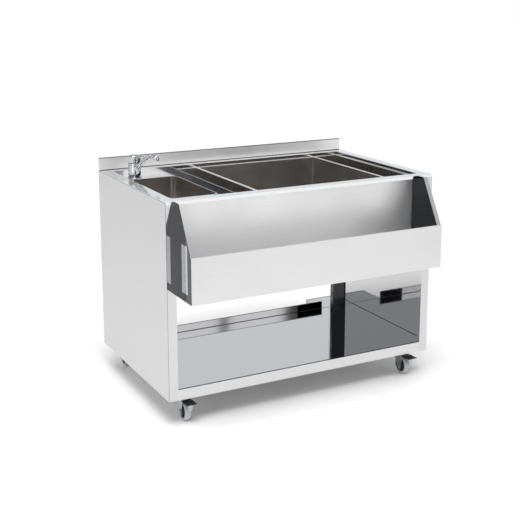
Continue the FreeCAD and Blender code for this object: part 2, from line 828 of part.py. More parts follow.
def castor_place(shape, x, y, turn):
    """Sets a castor piece, made with its wheel towards -Y, at its kingpin."""
    shape.rotate(Vector(0, 0, 0), Vector(0, 0, 1), turn)
    shape.translate(Vector(x, y, 0))
    return shape


def castor_plate():
    """Top plate with its bolt holes and the upper bearing race."""
    low = castor_height - plate_thickness
    plate = rounded_box(-plate_x / 2, plate_x / 2, -plate_y / 2, plate_y / 2, low, castor_height, 8.0)
    race = cylinder(race_radius + 1.5, crown_top + 6 + race_gap, low)
    race = race.makeChamfer(2.0, [e for e in race.Edges if e.BoundBox.ZMax < crown_top + 7])
    plate = fuse([plate, race]).cut(cylinder(kingpin, 0, 200))
    for dx in (-plate_hole_x / 2, plate_hole_x / 2):
        for dy in (-plate_hole_y / 2, plate_hole_y / 2):
            plate = plate.cut(cylinder(plate_hole, low - 1, castor_height + 1, dx, dy))
    return plate


def castor_kingpin():
    under_crown = crown_top - crown_thickness - race_gap
    pin = cylinder(kingpin, under_crown - 6, castor_height)
    return fuse([pin, hexagon(19.0, under_crown - 6, under_crown)])


def castor_bolts():
    """Four plate bolts, heads below the plate, and their nuts on the channel."""
    bolts = []
    low = castor_height - plate_thickness
    for dx in (-plate_hole_x / 2, plate_hole_x / 2):
        for dy in (-plate_hole_y / 2, plate_hole_y / 2):
            head = hexagon(13.0, low - 5.3, low, dx, dy)
            shank = cylinder(plate_bolt, low - 1, castor_height + channel_wall + 9, dx, dy)
            nut = hexagon(13.0, castor_height + channel_wall, castor_height + channel_wall + 6.5, dx, dy)
            bolts.append(fuse([head, shank, nut]))
    return bolts


def castor_fork(braked):
    """Crown, lower race and two legs; the braked fork also has ears for the pedal pin."""
    crown = box(-fork_gap - fork_wall, fork_gap + fork_wall, -46, 24, crown_top - crown_thickness, crown_top)
    race = ring(race_radius, 14.0, crown_top - 0.5, crown_top + 6)
    race = race.common(box(-fork_gap - fork_wall - 8, fork_gap + fork_wall + 8, -40, 40, 0, 200))
    outline = [
        (24, crown_top), (-46, crown_top), (-46, 74), (-40, 44), (-38, 26), (-33, 19),
        (-26, 19), (-20, 26), (-14, 44), (4, 66), (24, 82),
    ]
    parts = [crown, race]
    for x0 in (-fork_gap - fork_wall, fork_gap):
        parts.append(side_profile(outline, x0, x0 + fork_wall))
    fork = fuse(parts).cut(cylinder(kingpin + running_fit, 0, 200))
    fork = fork.cut(cylinder_x(axle_bolt, -40, 40, -trail, wheel_radius))
    if braked:
        fork = fork.cut(cylinder_x(pedal_pin, -40, 40, pedal_pivot_y, pedal_pivot_z))
    return fork


def castor_axle():
    """Sleeve between the legs, bolt through them, head and lock nut."""
    leg = fork_gap + fork_wall
    sleeve = cylinder_x(axle_sleeve, -fork_gap, fork_gap, -trail, wheel_radius)
    bolt = cylinder_x(axle_bolt, -leg, leg + 8.5, -trail, wheel_radius)
    head = hexagon_x(13.0, -leg - 5.3, -leg, -trail, wheel_radius)
    nut = hexagon_x(13.0, leg, leg + 7, -trail, wheel_radius)
    return fuse([sleeve, bolt, head, nut])


def castor_tyre():
    half = wheel_width / 2
    tyre = cylinder_x(wheel_radius, -half, half, -trail, wheel_radius)
    tyre = tyre.makeFillet(6.0, tyre.Edges[0:1] + [e for e in tyre.Edges if e.BoundBox.XMax < -half + 0.01])
    return tyre.cut(cylinder_x(wheel_radius - tyre_thickness, -half - 1, half + 1, -trail, wheel_radius))


def castor_hub():
    """Rim, thin web and a long boss with a running bore."""
    half = wheel_width / 2 - 1
    rim_radius = wheel_radius - tyre_thickness
    rim = cylinder_x(rim_radius, -half, half, -trail, wheel_radius)
    for side in (-1, 1):
        x0 = 4.0 if side > 0 else -half - 1
        x1 = half + 1 if side > 0 else -4.0
        rim = rim.cut(cylinder_x(rim_radius - 4, x0, x1, -trail, wheel_radius))
    boss = cylinder_x(11.0, -fork_gap + 0.3, fork_gap - 0.3, -trail, wheel_radius)
    hub = fuse([rim, boss])
    for step in range(6):
        rib_top = wheel_radius + rim_radius - 3
        rib = box(-half + 2, half - 2, -trail - 1.5, -trail + 1.5, wheel_radius + 9, rib_top)
        rib.rotate(Vector(0, -trail, wheel_radius), Vector(1, 0, 0), 60 * step)
        hub = hub.fuse(rib)
    return hub.cut(cylinder_x(axle_sleeve + running_fit, -40, 40, -trail, wheel_radius))


def castor_pedal():
    """The black pedal plate, with its knuckle on the pin and the brake pad under it."""
    reach = -trail - pedal_reach
    half = pedal_width / 2
    arm = pedal_arm_width / 2
    low = pedal_pivot_z + 0.2
    upper_edge = [(-31, low + 3), (-48, low + 3), (-56, low + 4), (reach, low + 5.3)]
    lower_edge = [(y, z - 3) for y, z in reversed(upper_edge)]
    profile = upper_edge + lower_edge
    wide = side_profile(profile, -half, half).common(box(-50, 50, reach - 1, -47, 0, 200))
    narrow = side_profile(profile, -arm, arm)
    knuckle = cylinder_x(3.1, -arm, arm, pedal_pivot_y, pedal_pivot_z)
    pad = box(-10, 10, -62, -50, pedal_pivot_z - 8, pedal_pivot_z + 3)
    whole = fuse([wide, narrow, knuckle, pad])
    whole = whole.cut(cylinder_x(wheel_radius + 3.6, -40, 40, -trail, wheel_radius))
    return whole.cut(cylinder_x(pedal_pin + running_fit, -60, 60, pedal_pivot_y, pedal_pivot_z))


def castor_tongue():
    """The zinc release tongue that hangs below the pedal, ahead of the tyre."""
    top = pedal_pivot_z + 1.5
    tongue = box(-9, 9, -84, -81.5, 64, top)
    nose = Part.makeCylinder(9, 2.5, Vector(0, -84, 64), Vector(0, 1, 0))
    foot = box(-9, 9, -84, -74, top - 1.5, top)
    return fuse([tongue, nose, foot]).cut(castor_pedal())


def castor_pedal_pin():
    leg = fork_gap + fork_wall
    pin = cylinder_x(pedal_pin, -leg - 1.5, leg + 1.5, pedal_pivot_y, pedal_pivot_z)
    return pin


def castor_stations():
    """Name, kingpin place, turn and brake of each castor."""
    x = right - side_castor_inset
    y_front = front + front_castor_inset
    y_rear = back - rear_castor_inset
    return [
        ("front_left", -x, y_front, 0, True),
        ("front_right", x, y_front, 0, True),
        ("rear_left", -x, y_rear, 180, False),
        ("rear_right", x, y_rear, 180, False),
    ]


def save(name, shape):
    shape.exportStep("parts/" + name + ".step")
    bounds = shape.BoundBox
    size = "%.1f x %.1f x %.1f" % (bounds.XLength, bounds.YLength, bounds.ZLength)
    print(name, len(shape.Solids), size, "valid" if shape.isValid() else "INVALID")


def save_castors():
    plates = []
    pins = []
    bolts = []
    for name, x, y, turn, braked in castor_stations():
        plates.append(castor_place(castor_plate(), x, y, turn))
        pins.append(castor_place(castor_kingpin(), x, y, turn))
        for bolt in castor_bolts():
            bolts.append(castor_place(bolt, x, y, turn))
        save("fork_" + name, castor_place(castor_fork(braked), x, y, turn))
        save("axle_" + name, castor_place(castor_axle(), x, y, turn))
        save("tyre_" + name, castor_place(castor_tyre(), x, y, turn))
        save("hub_" + name, castor_place(castor_hub(), x, y, turn))
        if braked:
            save("pedal_" + name, castor_place(castor_pedal(), x, y, turn))
            save("tongue_" + name, castor_place(castor_tongue(), x, y, turn))
            save("pedal_pin_" + name, castor_place(castor_pedal_pin(), x, y, turn))
    save("castor_plates", Part.makeCompound(plates))
    save("castor_kingpins", Part.makeCompound(pins))
    save("castor_bolts", Part.makeCompound(bolts))


def save_cabinet():
    save("side_left", side_panel(-1))
    save("side_right", side_panel(1))
    save("worktop", worktop())
    save("backsplash", backsplash())
    save("divider", divider())
    save("front_panel", front_panel())
    save("trough", trough())
    save("end_plate_left", end_plate_left())
    save("end_plate_right", end_plate_right())
    save("bottom_shelf", bottom_shelf())
    save("rear_shelf", rear_shelf())
    save("centre_post", centre_post())
    save("base_channel_left", base_channel(-1))
    save("base_channel_right", base_channel(1))
    save("back_rail", back_rail())


def save_tubs():
    save("sink_bowl", sink_bowl())
    save("sink_waste", sink_waste())
    save("back_nuts", Part.makeCompound([waste_nut(), tap_nut()]))
    save("sink_trap", sink_trap())
    save("sink_strainer", sink_strainer())
    save("ice_liner", ice_liner())
    save("ice_insulation", ice_insulation())
    save("ice_jacket", ice_jacket())
    save("ice_drain", ice_drain())
    save("false_bottom", false_bottom())
    save("bottle_well_left", bottle_well(left_well_x0))
    save("bottle_well_right", bottle_well(right_well_x0))


def save_tap():
    save("tap_base", tap_base())
    save("tap_housing", tap_housing())
    save("tap_tails", tap_tails())
    save("tap_spout", tap_spout())
    save("tap_aerator", tap_aerator())
    save("tap_turner", tap_turner())
    save("tap_pivot", tap_pivot())
    save("tap_lever", tap_lever())


save_cabinet()
save_tubs()
save_tap()
save_castors()
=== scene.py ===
# %% [markdown]
# # A bar sink with an ice bin, on castors
# The object is a bar station in stainless steel: a small sink with a lever tap on the left, an
# insulated well in the middle with a narrow well on each side of it, a trough along the front,
# and an open shelf below. It rolls on four castors.
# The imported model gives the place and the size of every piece. This script keeps those places,
# gives each sheet of steel its finish, and remakes the small round things that catch the light.

# %% Load the frame
import math

import bmesh
import bpy
from mathutils import Matrix, Vector


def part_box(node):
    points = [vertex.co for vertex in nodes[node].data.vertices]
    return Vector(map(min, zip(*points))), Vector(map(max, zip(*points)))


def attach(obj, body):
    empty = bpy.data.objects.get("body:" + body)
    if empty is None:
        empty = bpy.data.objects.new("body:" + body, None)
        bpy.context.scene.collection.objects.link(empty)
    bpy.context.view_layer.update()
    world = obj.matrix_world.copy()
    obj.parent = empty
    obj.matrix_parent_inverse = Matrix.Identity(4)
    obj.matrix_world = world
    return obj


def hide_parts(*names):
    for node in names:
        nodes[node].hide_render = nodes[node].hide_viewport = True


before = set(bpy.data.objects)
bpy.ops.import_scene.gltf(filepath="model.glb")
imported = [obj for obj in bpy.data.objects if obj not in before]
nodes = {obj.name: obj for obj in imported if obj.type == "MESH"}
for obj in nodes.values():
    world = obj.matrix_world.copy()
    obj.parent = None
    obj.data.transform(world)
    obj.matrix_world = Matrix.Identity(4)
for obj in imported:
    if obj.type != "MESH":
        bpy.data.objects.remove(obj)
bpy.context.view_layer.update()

print("nodes in the frame:", len(nodes))

# %% [markdown]
# ## Material helpers
# All the finishes are node trees on Blender's Principled shader. A small class keeps the tree
# short to read: it adds nodes, joins them, and reads positions on the object, so that a pattern
# stays where it is when the piece moves with its joint.

# %% A small tree builder


class Finish:
    """A material with its Principled shader, and short ways to add nodes to it."""

    def __init__(self, name, colour, metallic, roughness):
        self.material = bpy.data.materials.new(name)
        self.material.use_nodes = True
        self.tree = self.material.node_tree
        self.shader = self.tree.nodes["Principled BSDF"]
        self.shader.inputs["Base Color"].default_value = (*colour, 1.0)
        self.shader.inputs["Metallic"].default_value = metallic
        self.shader.inputs["Roughness"].default_value = roughness
        self.place = self.tree.nodes.new("ShaderNodeTexCoord").outputs["Object"]

    def node(self, kind, **values):
        made = self.tree.nodes.new(kind)
        for key, value in values.items():
            setattr(made, key, value)
        return made

    def join(self, output, target):
        self.tree.links.new(output, target)

    def noise(self, scale, stretch=(1, 1, 1), detail=4.0, roughness=0.55):
        """Noise whose cells are `scale` per metre, drawn out along an axis by `stretch`."""
        mapping = self.node("ShaderNodeMapping")
        mapping.inputs["Scale"].default_value = stretch
        self.join(self.place, mapping.inputs["Vector"])
        texture = self.node("ShaderNodeTexNoise")
        texture.inputs["Scale"].default_value = scale
        texture.inputs["Detail"].default_value = detail
        texture.inputs["Roughness"].default_value = roughness
        self.join(mapping.outputs["Vector"], texture.inputs["Vector"])
        return texture.outputs["Fac"]

    def spread(self, value, low, high, start=0.3, end=0.7):
        """Turns a noise of about start to end into a value from low to high."""
        spread = self.node("ShaderNodeMapRange")
        spread.inputs["From Min"].default_value = start
        spread.inputs["From Max"].default_value = end
        spread.inputs["To Min"].default_value = low
        spread.inputs["To Max"].default_value = high
        self.join(value, spread.inputs["Value"])
        return spread.outputs["Result"]

    def blend(self, value, first, second):
        mix = self.node("ShaderNodeMix", data_type="RGBA")
        mix.inputs[6].default_value = (*first, 1.0)
        mix.inputs[7].default_value = (*second, 1.0)
        self.join(value, mix.inputs[0])
        return mix.outputs[2]

    def inside(self, ranges):
        """1 where the position is inside all of the ranges, given per axis in metres, and 0 elsewhere."""
        axes = self.node("ShaderNodeSeparateXYZ")
        self.join(self.place, axes.inputs[0])
        both = None
        for axis, (low, high) in ranges.items():
            test = self.node("ShaderNodeMath", operation="COMPARE")
            test.inputs[1].default_value = (low + high) / 2
            test.inputs[2].default_value = (high - low) / 2
            self.join(axes.outputs[axis], test.inputs[0])
            if both is None:
                both = test.outputs[0]
            else:
                product = self.node("ShaderNodeMath", operation="MULTIPLY")
                self.join(both, product.inputs[0])
                self.join(test.outputs[0], product.inputs[1])
                both = product.outputs[0]
        return both

    def patch(self, where, colour, shade, roughness, new_roughness):
        """Gives the surface another shade and roughness where a value is 1."""
        mix = self.node("ShaderNodeMix", data_type="RGBA")
        mix.inputs[7].default_value = (*shade, 1.0)
        self.join(where, mix.inputs[0])
        self.join(colour, mix.inputs[6])
        change = self.node("ShaderNodeMix", data_type="FLOAT")
        change.inputs[3].default_value = new_roughness
        self.join(where, change.inputs[0])
        self.join(roughness, change.inputs[2])
        return mix.outputs[2], change.outputs[0]

    def bump(self, heights):
        """Bumps one on the other, from pairs of a height value and its depth in metres."""
        normal = None
        for value, depth in heights:
            bump = self.node("ShaderNodeBump")
            bump.inputs["Strength"].default_value = 1.0
            bump.inputs["Distance"].default_value = depth
            self.join(value, bump.inputs["Height"])
            if normal is not None:
                self.join(normal, bump.inputs["Normal"])
            normal = bump.outputs["Normal"]
        self.join(normal, self.shader.inputs["Normal"])


print("finish helper ready")

# %% [markdown]
# ## Stainless steel
# Sheet steel isn't one finish. The rolled surface is nearly a mirror, but never flat: it has slow
# waves that bend the reflections. Satin sheet is brushed, so it has fine lines one way, and its
# reflection is drawn out across them. Both come from the same recipe with other values: noise
# stretched along the grain for the lines, and a wide noise for the waves and for hand marks.
# A patch gives one range of a sheet a shade of its own. The satin outer faces and the shelf's front flange
# are finishes; the others are painted light: painted shade lines along cut edges and folds, painted dark
# reflections on faces that show dark surroundings, a lighter painted inside in the trough and a painted
# highlight on the bowl's rim.
# It is part of the surface and looks the same from all sides.

# %% Steel finishes
GRAIN_X = (0.02, 1, 1)
GRAIN_Y = (1, 0.02, 1)


def steel(name, shade, roughness, grain, line_depth, wave_depth, variation=0.05, patches=()):
    """Sheet steel. Each patch is a range per axis with a shade and a roughness of its own."""
    finish = Finish(name, shade, 1.0, roughness)
    lines = finish.noise(900.0, grain, detail=3.0)
    marks = finish.noise(5.0, (1, 1, 1), detail=5.0)
    waves = finish.noise(3.2, (1, 1, 1), detail=1.5)
    darker = tuple(channel * (1 - variation) for channel in shade)
    colour = finish.blend(finish.spread(lines, 0, 1), darker, shade)
    gloss = finish.spread(marks, roughness * 0.85, roughness * 1.2)
    for ranges, patch_shade, patch_roughness in patches:
        where = finish.inside(ranges)
        colour, gloss = finish.patch(where, colour, patch_shade, gloss, patch_roughness)
    finish.join(colour, finish.shader.inputs["Base Color"])
    finish.join(gloss, finish.shader.inputs["Roughness"])
    finish.bump([(waves, wave_depth), (lines, line_depth)])
    return finish.material


side_low, side_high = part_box("side_right")
shelf_low, shelf_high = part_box("bottom_shelf")
back_low, back_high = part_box("backsplash")
post_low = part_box("centre_post")[0]
rear_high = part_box("rear_shelf")[1]
trough_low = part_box("trough")[0]
end_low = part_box("end_plate_left")[0]
plate_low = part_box("end_plate_right")[0]
deck_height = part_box("divider")[0].z
shelf_height = post_low.z

# Patches reach this far, in metres. FAR is past the whole part, FACE is into one side of a sheet,
# SHEET is through most of it, and the others are the widths of painted shade lines along edges and folds.
FAR = 2.0
FACE = 0.0008
SHEET = 0.001
RIM = 0.0005
FOLD = 0.0014
CREST = 0.0025
BACK_CREST = 0.0035
BACK_TOP = 0.004
JUNCTION = 0.005
EDGE = 0.008
REAR_EDGE = 0.010
# Ranges of painted reflections: where the painted black on the upstand starts, and where the lighter painted
# reflection lies on the left end plate.
upstand_painted_reflection_start = 0.30
plate_painted_reflection_y = (-0.402, -0.352)
plate_painted_reflection_z = (0.553, 0.735)
SATIN = (0.61, 0.61, 0.615)
BRIGHT = (0.84, 0.84, 0.845)
MIRROR = (0.62, 0.62, 0.63)
# The next three shades are painted light: a dark and a black painted reflection or shade, and a painted shade
# line for edges and folds.
PAINTED_DARK_SHADE = (0.045, 0.046, 0.05)
PAINTED_BLACK_SHADE = (0.010, 0.010, 0.011)
PAINTED_EDGE_SHADE = (0.20, 0.20, 0.205)

side_steel = steel(
    "folded_side_sheet", MIRROR, 0.05, GRAIN_Y, 0.000001, 0.0002, patches=[
        ({"X": (-FAR, -side_high.x + FACE)}, SATIN, 0.45),
        ({"X": (side_high.x - FACE, FAR)}, SATIN, 0.45),
        # Painted shade line down the fold at the front of the left side's outer face.
        ({"X": (-side_high.x - SHEET, -side_high.x + FOLD), "Y": (-FAR, side_low.y + FACE)}, PAINTED_EDGE_SHADE, 0.3),
    ],
)
bright_steel = steel("bright_sheet", BRIGHT, 0.12, GRAIN_X, 0.000002, 0.0006)
panel_steel = steel("satin_panel_sheet", (0.90, 0.90, 0.905), 0.50, GRAIN_X, 0.000004, 0.0004)
back_steel = steel(
    "backsplash_sheet", (0.88, 0.88, 0.885), 0.42, GRAIN_X, 0.000004, 0.0005,
    # Painted shade line along the top edge of the backsplash's front face.
    patches=[({"Y": (-FAR, back_low.y + BACK_TOP), "Z": (back_high.z - BACK_CREST, FAR)}, PAINTED_EDGE_SHADE, 0.3)],
)
trough_steel = steel(
    "trough_sheet", (0.72, 0.72, 0.725), 0.34, GRAIN_X, 0.000004, 0.0004,
    # Painted light: the trough's inside is given a lighter, rougher shade than the sheet outside, so that it
    # shows lighter where it lies in shade.
    patches=[({"Y": (trough_low.y + SHEET, FAR)}, (0.92, 0.92, 0.925), 0.60)],
)
# A painted dark reflection: the divider's sheet is given a near black shade.
painted_dark_sheet_steel = steel("painted_dark_reflection_sheet", PAINTED_DARK_SHADE, 0.12, GRAIN_X, 0.000002, 0.0006)
post_steel = steel(
    "post_sheet", MIRROR, 0.10, GRAIN_X, 0.000002, 0.0004, patches=[
        # The post's left web face and front face are painted black, a painted dark reflection.
        ({"X": (0, post_low.x + FACE)}, PAINTED_BLACK_SHADE, 0.10),
        ({"Y": (-FAR, post_low.y + FACE)}, PAINTED_BLACK_SHADE, 0.10),
    ],
)
plate_face = (-FAR, end_low.x + FACE)
end_steel = steel(
    "end_plate_sheet", BRIGHT, 0.25, GRAIN_Y, 0.000001, 0.0002, patches=[
        # The left end plate's outer face is a painted dark reflection, with a lighter painted reflection in
        # one range of it.
        ({"X": plate_face}, PAINTED_DARK_SHADE, 0.08),
        ({"X": plate_face, "Y": plate_painted_reflection_y, "Z": plate_painted_reflection_z}, (0.52, 0.525, 0.54), 0.08),
    ],
)
plate_steel = steel(
    "flanged_plate_sheet", BRIGHT, 0.2, GRAIN_X, 0.000002, 0.0006,
    # The inner face of the right end plate is painted dark, a painted dark reflection.
    patches=[({"X": (0, plate_low.x + FACE)}, PAINTED_DARK_SHADE, 0.12)],
)
above_shelf = shelf_height + SHEET
shelf_steel = steel(
    "shelf_sheet", MIRROR, 0.07, GRAIN_X, 0.000001, 0.0003, patches=[
        # Painted black shade in the strip where the shelf meets the right side.
        ({
            "X": (side_high.x - JUNCTION, FAR), "Y": (shelf_low.y + SHEET, FAR), "Z": (0, above_shelf),
        }, PAINTED_BLACK_SHADE, 0.4),
        ({"Z": (above_shelf, FAR)}, BRIGHT, 0.15),
        # Painted black reflection on the right end of the upstand's front face.
        ({
            "X": (upstand_painted_reflection_start, FAR), "Y": (0, shelf_high.y - FACE), "Z": (above_shelf, FAR),
        }, PAINTED_BLACK_SHADE, 0.15),
        ({"Y": (-FAR, shelf_low.y + SHEET)}, (0.66, 0.66, 0.665), 0.35),
        # Painted dark shade along the front flange's top edge, then painted shade lines at the back fold and
        # along the upstand's crest.
        ({"Y": (-FAR, shelf_low.y + EDGE), "Z": (shelf_height - RIM, FAR)}, PAINTED_DARK_SHADE, 0.3),
        ({"Y": (shelf_high.y - EDGE, FAR), "Z": (shelf_height - SHEET, shelf_height + FOLD)}, PAINTED_EDGE_SHADE, 0.3),
        ({"Z": (shelf_high.z - CREST, FAR)}, PAINTED_EDGE_SHADE, 0.3),
    ],
)
rear_shelf_steel = steel(
    "rear_shelf_sheet", MIRROR, 0.07, GRAIN_X, 0.000001, 0.0003, patches=[
        # Painted black shade where the rear shelf meets the right side, and a painted shade line along its
        # back edge.
        ({"X": (side_high.x - JUNCTION, FAR)}, PAINTED_BLACK_SHADE, 0.4),
        ({"Y": (rear_high.y - REAR_EDGE, FAR)}, PAINTED_EDGE_SHADE, 0.3),
    ],
)
bowl_steel = steel(
    "pressed_bowl_steel", (0.66, 0.64, 0.62), 0.22, GRAIN_Y, 0.000008, 0.0006,
    # Painted highlight: the rim above the deck is given a brighter shade than the tub.
    patches=[({"Z": (deck_height - RIM, FAR)}, (0.86, 0.85, 0.84), 0.2)],
)
print("steel finishes:", [m.name for m in bpy.data.materials if "st" in m.name])

# %% [markdown]
# ## Chrome, zinc and the plastics
# Chrome plate is smooth and colder than steel. Bright zinc on pressed castor parts is duller, with
# cloudy patches from the bath. The tyres are a grey rubber that takes on dust, the hubs a dark
# plastic, and the pedals a black one with a fine moulded grain.

# %% Other finishes


def plated(name, shade, roughness, cloud, cloud_scale):
    finish = Finish(name, shade, 1.0, roughness)
    clouds = finish.noise(cloud_scale, detail=4.0)
    fine = finish.noise(1400.0, detail=2.0)
    darker = tuple(channel * (1 - cloud) for channel in shade)
    finish.join(finish.blend(finish.spread(clouds, 0, 1), darker, shade), finish.shader.inputs["Base Color"])
    finish.join(finish.spread(clouds, roughness * 0.8, roughness * 1.3), finish.shader.inputs["Roughness"])
    finish.bump([(fine, 0.000004)])
    return finish.material


def moulded(name, shade, roughness, dust, grain_scale, grain_depth):
    finish = Finish(name, shade, 0.0, roughness)
    wear = finish.noise(18.0, detail=6.0)
    grain = finish.noise(grain_scale, detail=2.0)
    finish.join(finish.blend(finish.spread(wear, 0, 1), shade, dust), finish.shader.inputs["Base Color"])
    gloss = finish.spread(wear, roughness * 0.9, min(1.0, roughness * 1.2))
    finish.join(gloss, finish.shader.inputs["Roughness"])
    finish.bump([(grain, grain_depth)])
    return finish.material


chrome = plated("polished_chrome", (0.54, 0.55, 0.57), 0.05, 0.03, 30.0)
zinc = plated("bright_zinc", (0.46, 0.475, 0.49), 0.30, 0.16, 60.0)
brass = plated("plain_brass", (0.72, 0.55, 0.27), 0.30, 0.12, 50.0)
foam = moulded("rigid_foam", (0.72, 0.62, 0.40), 0.85, (0.66, 0.56, 0.36), 240.0, 0.0003)
grey_plastic = moulded("grey_pipe_plastic", (0.55, 0.56, 0.57), 0.42, (0.48, 0.49, 0.50), 700.0, 0.00002)
dark_plastic = moulded("dark_cartridge_plastic", (0.03, 0.03, 0.035), 0.40, (0.05,) * 3, 700.0, 0.00002)
black_plastic = moulded("black_pedal_plastic", (0.006, 0.006, 0.007), 0.46, (0.015,) * 3, 900.0, 0.00004)
tyre_rubber = moulded("grey_wheel_rubber", (0.47, 0.47, 0.49), 0.50, (0.41, 0.41, 0.43), 500.0, 0.00003)
hub_plastic = moulded("dark_hub_plastic", (0.05, 0.05, 0.055), 0.38, (0.07, 0.07, 0.075), 600.0, 0.00002)
print("finishes in all:", len(bpy.data.materials))

# %% [markdown]
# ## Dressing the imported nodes
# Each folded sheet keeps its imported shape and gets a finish. Satin goes on the outer sides, bright
# sheet on top, near mirror on the shelf and the inner faces of the sides, and a darker, softer
# finish inside the pressed tubs. The hidden rail, channels and jacket take the shelf's sheet.

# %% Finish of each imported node
dressing = {
    side_steel: ["side_left", "side_right"],
    bright_steel: ["worktop"],
    back_steel: ["backsplash"],
    panel_steel: ["front_panel"],
    rear_shelf_steel: ["rear_shelf"],
    trough_steel: ["trough"],
    plate_steel: ["end_plate_right"],
    # The divider's dark sheet is a painted dark reflection.
    painted_dark_sheet_steel: ["divider"],
    post_steel: ["centre_post"],
    end_steel: ["end_plate_left"],
    shelf_steel: ["bottom_shelf", "base_channel_left", "base_channel_right", "back_rail", "ice_jacket"],
    bowl_steel: ["sink_bowl", "ice_liner", "bottle_well_left", "bottle_well_right", "false_bottom"],
    chrome: [
        "sink_waste", "sink_strainer", "ice_drain", "tap_base", "tap_housing", "tap_pivot", "tap_aerator",
        "tap_spout", "tap_lever",
    ],
    zinc: ["castor_plates", "castor_kingpins", "castor_bolts"],
    brass: ["tap_tails"],
    foam: ["ice_insulation"],
    grey_plastic: ["back_nuts", "sink_trap"],
    dark_plastic: ["tap_turner"],
}
castor_families = {
    "fork_": zinc, "axle_": zinc, "tongue_": zinc, "pedal_pin_": zinc,
    "tyre_": tyre_rubber, "hub_": hub_plastic, "pedal_": black_plastic,
}


def dress(node, material):
    slots = nodes[node].material_slots
    for slot in slots:
        slot.material = material
    if not slots:
        nodes[node].data.materials.append(material)


dressed = set()
for material, names in dressing.items():
    for name in names:
        dress(name, material)
        dressed.add(name)
for name in nodes:
    if name not in dressed:
        family = next(start for start in castor_families if name.startswith(start))
        dress(name, castor_families[family])
        dressed.add(name)
print("dressed nodes:", len(dressed), "of", len(nodes))

# %% [markdown]
# ## Helpers for new pieces
# Turned parts, such as the tap and the wheels, start as half a section drawn as a few vertices,
# which `spin` carries round the axis. The pieces are drawn in millimetres round their own axis,
# and one matrix then puts them where the frame says, inside the mesh, so the object itself stays
# at the origin.

# %% Piece helpers
MM = Matrix.Scale(0.001, 4)


def add_piece(name, bm, place, material, body, stands_for=(), crease=35.0):
    """Puts a mesh drawn in millimetres at its place, dresses it and lets it ride on a body."""
    bmesh.ops.remove_doubles(bm, verts=bm.verts, dist=0.0005)
    bmesh.ops.recalc_face_normals(bm, faces=bm.faces)
    bmesh.ops.transform(bm, matrix=place @ MM, verts=bm.verts)
    mesh = bpy.data.meshes.new(name)
    bm.to_mesh(mesh)
    bm.free()
    mesh.shade_smooth()
    mesh.set_sharp_from_angle(angle=math.radians(crease))
    mesh.materials.append(material)
    piece = bpy.data.objects.new(name, mesh)
    bpy.context.collection.objects.link(piece)
    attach(piece, body)
    if stands_for:
        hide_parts(*stands_for)
    return piece


def turn_section(bm, section, closed=False, steps=64):
    """Spins a section of (radius, height) points about Z."""
    verts = [bm.verts.new((radius, 0, height)) for radius, height in section]
    ends = verts[1:] + verts[:1] if closed else verts[1:]
    edges = [bm.edges.new(pair) for pair in zip(verts, ends)]
    bmesh.ops.spin(
        bm, geom=verts + edges, cent=(0, 0, 0), axis=(0, 0, 1), dvec=(0, 0, 0),
        angle=math.tau, steps=steps, use_merge=True, use_duplicate=False,
    )


def ring_of(geometry):
    """The vertices and edges in what an operator returned."""
    return [item for item in geometry if isinstance(item, (bmesh.types.BMVert, bmesh.types.BMEdge))]


def push(bm, ring, offset):
    """Extrudes a ring of edges by an offset and returns the new ring."""
    edges = [item for item in ring if isinstance(item, bmesh.types.BMEdge)]
    made = ring_of(bmesh.ops.extrude_edge_only(bm, edges=edges)["geom"])
    verts = [item for item in made if isinstance(item, bmesh.types.BMVert)]
    bmesh.ops.translate(bm, vec=offset, verts=verts)
    return made


def bend(bm, ring, centre, axis, angle, steps):
    """Carries a ring of edges round an axis and returns the last ring."""
    made = bmesh.ops.spin(
        bm, geom=ring, cent=centre, axis=axis, dvec=(0, 0, 0),
        angle=angle, steps=steps, use_merge=False, use_duplicate=False,
    )
    return ring_of(made["geom_last"])


def round_bar(bm, radius, place, segments=32):
    """Starts a bar: a ring of edges at a place, its axis along the place's Z."""
    made = bmesh.ops.create_circle(bm, cap_ends=False, radius=radius, segments=segments, matrix=place)
    edges = {edge for vert in made["verts"] for edge in vert.link_edges}
    return list(made["verts"]) + list(edges)


def close_ring(bm, ring):
    bmesh.ops.contextual_create(bm, geom=[item for item in ring if isinstance(item, bmesh.types.BMEdge)])


def block(bm, low, high, bevel=0.0, segments=3):
    """A block between two corners, with its edges rounded."""
    size = Vector(high) - Vector(low)
    middle = (Vector(high) + Vector(low)) / 2
    place = Matrix.Translation(middle) @ Matrix.Diagonal((*size, 1))
    made = bmesh.ops.create_cube(bm, size=1.0, matrix=place)
    if bevel:
        edges = {edge for vert in made["verts"] for edge in vert.link_edges}
        bmesh.ops.bevel(
            bm, geom=list(edges), offset=bevel, segments=segments, profile=0.5, affect="EDGES", material=-1,
        )


print("piece helpers ready")

# %% [markdown]
# ## The tap
# A one-hole mixer. A sleeve with the spout on it turns on a fixed column. The spout rises in a
# straight line, bends over and ends in a short head with the aerator. On top sits a cap with an
# open loop for a lever. All of it is chrome, so every radius has to be smooth: the sleeve and the
# cap are spun, and the spout is one ring of edges pushed and bent along its line.

# %% Spout and sleeve
spout_turn = math.radians(-74.0)
foot_low, foot_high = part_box("tap_base")
tap_foot = Vector(((foot_low.x + foot_high.x) / 2, (foot_low.y + foot_high.y) / 2, deck_height))
tap_place = Matrix.Translation(tap_foot) @ Matrix.Rotation(spout_turn, 4, "Z")
sleeve_section = [
    (18.05, 6.2), (25.2, 6.2), (26, 7), (26, 57.4), (25.5, 58), (26, 58.6), (26, 64), (25.3, 65), (18.05, 65),
]
spout = bmesh.new()
turn_section(spout, sleeve_section, closed=True, steps=96)

